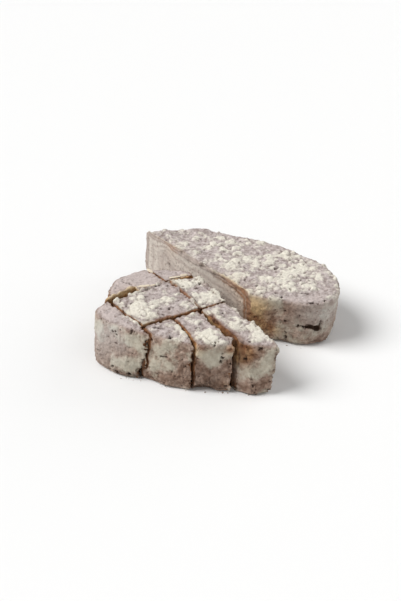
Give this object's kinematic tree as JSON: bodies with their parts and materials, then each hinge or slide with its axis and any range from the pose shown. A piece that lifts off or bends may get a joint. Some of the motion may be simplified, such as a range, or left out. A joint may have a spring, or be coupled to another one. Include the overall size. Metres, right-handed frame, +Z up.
{
  "type": "halva",
  "caption": "Cocoa-marbled sesame halva cut across: one half is a solid block with a flat cut face, the other is diced into chunks that stand where they were cut.",
  "frame": {"origin": "middle of the box round all the pieces, on the flat underside", "axes": "+Z up from the underside; +Y along the block's cut face; +X from the diced half towards the block"},
  "size_m": [0.2004, 0.2138, 0.0474],
  "materials": {
    "halva": "dry, crumbly and matte, ivory marbled with pale cocoa"
  },
  "bodies": {
    "root": {"block": "halva", "chunk_heel": "halva", "chunk_front_left": "halva", "chunk_front_middle": "halva", "chunk_front_right": "halva", "chunk_middle_left": "halva", "chunk_middle_right": "halva", "chunk_rear_left": "halva", "chunk_rear_right": "halva"}
  },
  "joints": []
}
